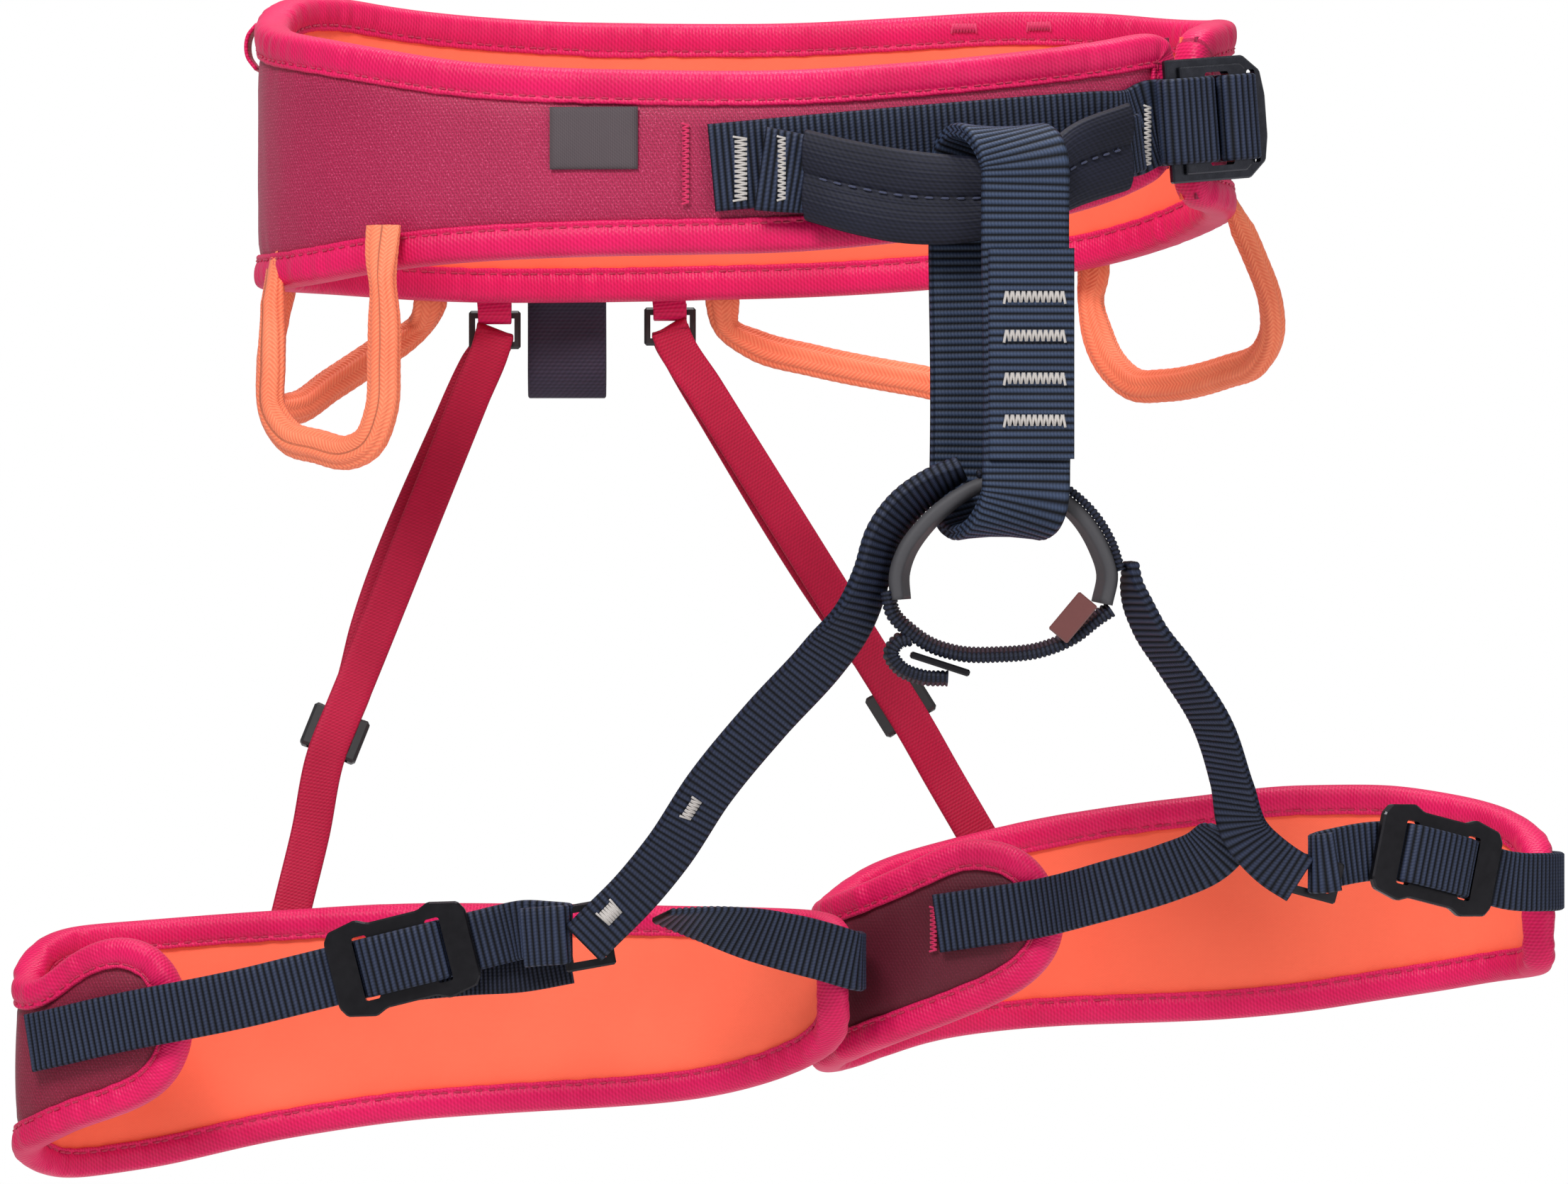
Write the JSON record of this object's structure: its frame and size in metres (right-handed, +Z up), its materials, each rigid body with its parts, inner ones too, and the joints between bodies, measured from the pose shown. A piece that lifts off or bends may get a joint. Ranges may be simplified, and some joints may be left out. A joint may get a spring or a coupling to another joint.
{
  "type": "climbing harness",
  "caption": "Padded sit harness: curved waist belt with buckle, belay loop on a tie-in sleeve, two padded leg loops with buckles, elastic rear risers, gear loops and a haul loop.",
  "frame": {"origin": "middle of the waist belt opening, at mid belt height on the front", "axes": "+X to the right as seen from the front, +Y from front to back, +Z up as worn"},
  "size_m": [0.4537, 0.2102, 0.3489],
  "materials": {
    "mesh": "fine dark magenta mesh",
    "foam": "open-cell foam core",
    "lining": "orange knit lining",
    "binding": "hot pink rolled grosgrain binding",
    "webbing": "navy ribbed webbing",
    "grosgrain": "dark navy grosgrain",
    "gunmetal": "black anodised",
    "black_metal": "black coated",
    "rubber": "charcoal moulded",
    "flap": "semi-gloss brown red film",
    "plastic": "black moulded",
    "elastic": "crimson elastic",
    "braid": "orange braided tube",
    "label": "grey woven",
    "thread": "tan-grey thread",
    "pink_thread": "pink thread"
  },
  "bodies": {
    "waist": {"waist_mesh": "mesh", "waist_foam": "foam", "waist_lining": "lining", "waist_binding": "binding", "waist_webbing": "webbing", "waist_webbing_far": "webbing", "tie_in_sleeve": "grosgrain", "tie_in_webbing": "webbing", "label_tab": "label", "ribbon_loop": "binding", "waist_bartack": "pink_thread", "riser_tab_left": "binding", "riser_tab_right": "binding", "riser_ring_left": "plastic", "riser_ring_right": "plastic"},
    "waist_buckle": {"waist_buckle_frame": "gunmetal", "waist_buckle_plate": "gunmetal", "waist_buckle_web": "webbing"},
    "belay": {"belay_loop": "webbing", "belay_lap": "webbing", "belay_bartacks": "thread"},
    "yoke": {"ring_liner": "rubber", "ring_web": "webbing", "crotch_strap": "webbing", "crotch_tail": "webbing", "ring_flap": "flap", "connector_left": "webbing", "connector_right": "webbing", "crotch_link_left": "black_metal", "crotch_link_right": "black_metal", "leg_mesh_left": "mesh", "leg_foam_left": "foam", "leg_lining_left": "lining", "leg_binding_left": "binding", "leg_mesh_right": "mesh", "leg_foam_right": "foam", "leg_lining_right": "lining", "leg_binding_right": "binding", "leg_webbing_buckle_left": "webbing", "leg_webbing_crotch_left": "webbing", "leg_tail_left": "webbing", "leg_webbing_buckle_right": "webbing", "leg_webbing_crotch_right": "webbing", "riser_strap_left": "elastic", "riser_strap_right": "elastic", "riser_return_left": "elastic", "riser_return_right": "elastic"},
    "crotch_adjuster": {"crotch_slider": "black_metal"},
    "leg_buckle_left": {"leg_buckle_frame_left": "black_metal", "leg_buckle_web_left": "webbing"},
    "leg_buckle_right": {"leg_buckle_frame_right": "black_metal", "leg_buckle_web_right": "webbing"},
    "riser_adjuster_left": {"riser_slider_left": "plastic"},
    "riser_adjuster_right": {"riser_slider_right": "plastic"},
    "haul": {"haul_loop": "webbing"},
    "gear_front_left": {"gear_loop_front_left": "braid"},
    "gear_back_left": {"gear_loop_back_left": "braid"},
    "gear_back_right": {"gear_loop_back_right": "braid"},
    "gear_front_right": {"gear_loop_front_right": "braid"}
  },
  "joints": [
    {"name": "leg_yoke_swing", "type": "hinge", "parent": "waist", "child": "yoke", "pos_m": [0.08, -0.097, -0.012], "axis": [1, 0, 0], "range_deg": [0, 12], "deforming": ["riser_strap_left", "riser_strap_right", "riser_return_left", "riser_return_right"]},
    {"name": "belay_loop_lift", "type": "slide", "parent": "yoke", "child": "belay", "axis": [0, 0, 1], "range_m": [0, 0.002]},
    {"name": "waist_buckle_slide", "type": "slide", "parent": "waist", "child": "waist_buckle", "axis": [0.8627, 0.4981, 0.0872], "range_m": [-0.002, 0.008]},
    {"name": "leg_buckle_left_slide", "type": "slide", "parent": "yoke", "child": "leg_buckle_left", "axis": [0.969, -0.0508, 0.2419], "range_m": [-0.012, 0.005]},
    {"name": "leg_buckle_right_slide", "type": "slide", "parent": "yoke", "child": "leg_buckle_right", "axis": [0.8438, 0.4872, -0.225], "range_m": [-0.008, 0.008]},
    {"name": "crotch_adjuster_slide", "type": "slide", "parent": "yoke", "child": "crotch_adjuster", "axis": [0.9511, 0, -0.309], "range_m": [-0.002, 0.005]},
    {"name": "riser_adjuster_left_slide", "type": "slide", "parent": "yoke", "child": "riser_adjuster_left", "axis": [-0.3548, -0.2421, -0.9031], "range_m": [-0.025, 0.006]},
    {"name": "riser_adjuster_right_slide", "type": "slide", "parent": "yoke", "child": "riser_adjuster_right", "axis": [0.5236, -0.1369, -0.8409], "range_m": [-0.025, 0.006]},
    {"name": "haul_loop_swing", "type": "hinge", "parent": "waist", "child": "haul", "pos_m": [-0.054, 0.0855, -0.03], "axis": [1, 0, 0], "range_deg": [0, 70]},
    {"name": "gear_loop_front_left_swing", "type": "hinge", "parent": "waist", "child": "gear_front_left", "pos_m": [-0.11959, -0.05263, -0.027], "axis": [-0.7386, 0.618, -0.2693], "range_deg": [0, 60]},
    {"name": "gear_loop_back_left_swing", "type": "hinge", "parent": "waist", "child": "gear_back_left", "pos_m": [-0.11574, 0.05386, -0.0325], "axis": [0.791, 0.6116, 0.0187], "range_deg": [0, 60]},
    {"name": "gear_loop_back_right_swing", "type": "hinge", "parent": "waist", "child": "gear_back_right", "pos_m": [0.03886, 0.07895, -0.029], "axis": [0.9927, -0.1125, 0.0431], "range_deg": [0, 60]},
    {"name": "gear_loop_front_right_swing", "type": "hinge", "parent": "waist", "child": "gear_front_right", "pos_m": [0.1248, 0.03563, -0.0165], "axis": [0.5657, -0.8116, 0.1459], "range_deg": [0, 60]}
  ]
}
